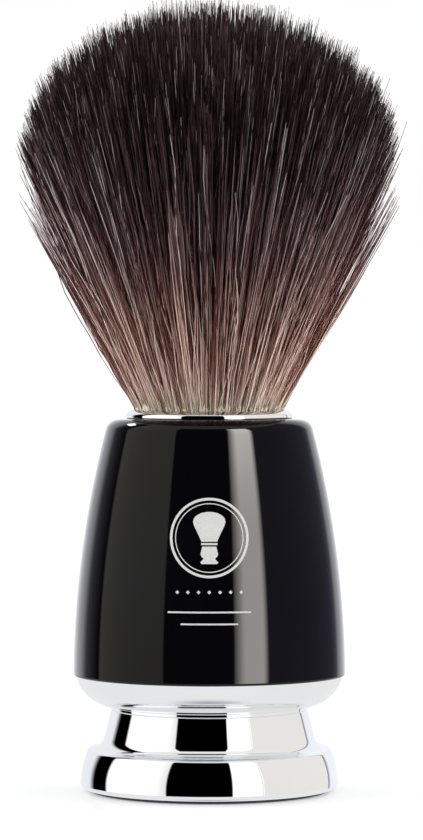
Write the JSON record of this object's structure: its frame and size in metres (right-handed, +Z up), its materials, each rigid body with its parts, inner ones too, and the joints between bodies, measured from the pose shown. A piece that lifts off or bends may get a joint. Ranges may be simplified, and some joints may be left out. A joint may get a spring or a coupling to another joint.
{
  "type": "shaving brush",
  "caption": "Shaving brush: a dark synthetic fibre fan in a plated collar, screwed into a flared gloss black resin handle on a plated dish and foot.",
  "frame": {"origin": "centre of the foot pad's underside, on the table", "axes": "+Z up the brush's axis, from the foot to the bristle dome; +X and +Y are square to it, and -Y is the side with the printed emblem"},
  "size_m": [0.0534, 0.0534, 0.11],
  "materials": {
    "pad_rubber": "matte",
    "chrome": "polished",
    "zinc_steel": "satin",
    "spring_steel": "satin",
    "black_resin": "gloss",
    "brass": "satin",
    "seal_rubber": "matte",
    "cup_plastic": "satin",
    "potting_resin": "gloss",
    "cord": "matte",
    "fibre_root": "satin",
    "fibre_tip": "satin"
  },
  "bodies": {
    "handle": {"handle_shell": "black_resin", "socket_insert": "brass", "base_dish": "chrome", "base_foot": "chrome", "foot_pad": "pad_rubber", "tie_bolt": "zinc_steel", "spring_washer": "spring_steel", "flat_washer": "zinc_steel"},
    "seal": {"collar_oring": "seal_rubber"},
    "head": {"knot_cup": "cup_plastic", "head_stud": "zinc_steel", "collar_ring": "chrome", "resin_plug": "potting_resin", "bundle_binding": "cord", "bristle_root": "fibre_root"},
    "bristles": {"bristle_tips": "fibre_tip"}
  },
  "joints": [
    {"name": "head_turn", "type": "hinge", "parent": "handle", "child": "seal", "pos_m": [0, 0, 0.052], "axis": [0, 0, 1], "range_deg": [0, 2880]},
    {"name": "head_lift", "type": "slide", "parent": "seal", "child": "head", "axis": [0, 0, 1], "range_m": [0, 0.01]},
    {"name": "bristle_bend", "type": "hinge", "parent": "head", "child": "bristles", "pos_m": [0, 0, 0.0532], "axis": [0, 1, 0], "range_deg": [-30, 30], "stiffness_Nm_per_rad": 0.15}
  ],
  "couplings": [
    {"joint": "head_lift", "follows": "head_turn", "m_per_rad": 0.00019894}
  ]
}
